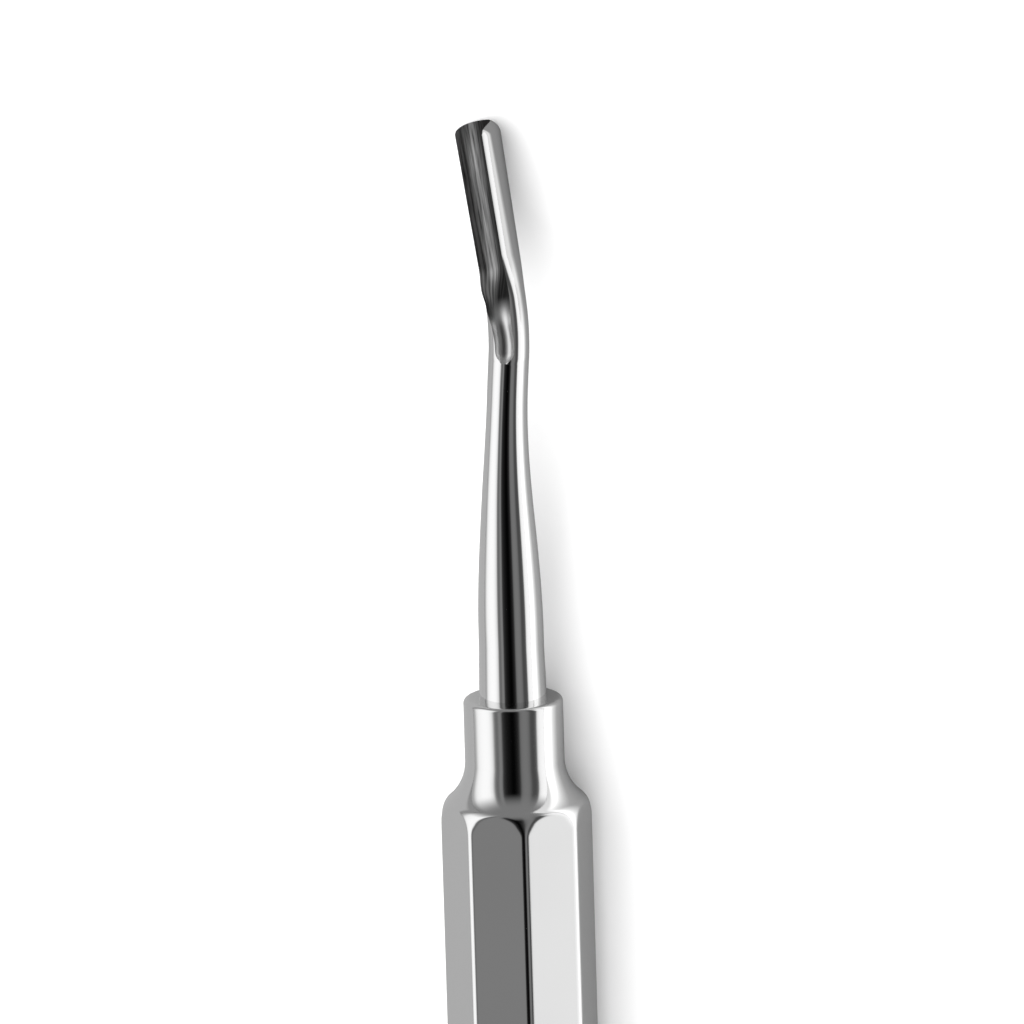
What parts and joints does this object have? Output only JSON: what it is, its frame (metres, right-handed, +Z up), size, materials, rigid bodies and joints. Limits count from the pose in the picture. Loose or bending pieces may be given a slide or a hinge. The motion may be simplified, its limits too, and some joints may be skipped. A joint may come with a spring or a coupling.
{
  "type": "dental elevator",
  "caption": "Steel dental elevator with a curved gouge blade on a tapered shank and a faceted handle, lying on one flat.",
  "frame": {"origin": "on the surface that the instrument lies on, under the middle of its length", "axes": "+X along the handle's axis towards the blade, +Z up, +Y to the side that the blade bends to"},
  "size_m": [0.1564, 0.0136, 0.0135],
  "materials": {
    "handle_steel": "polished stainless steel",
    "blade_steel": "mirror-polished stainless steel, ground along the gutter"
  },
  "bodies": {
    "root": {"handle": "handle_steel", "working_end": "blade_steel"}
  },
  "joints": []
}
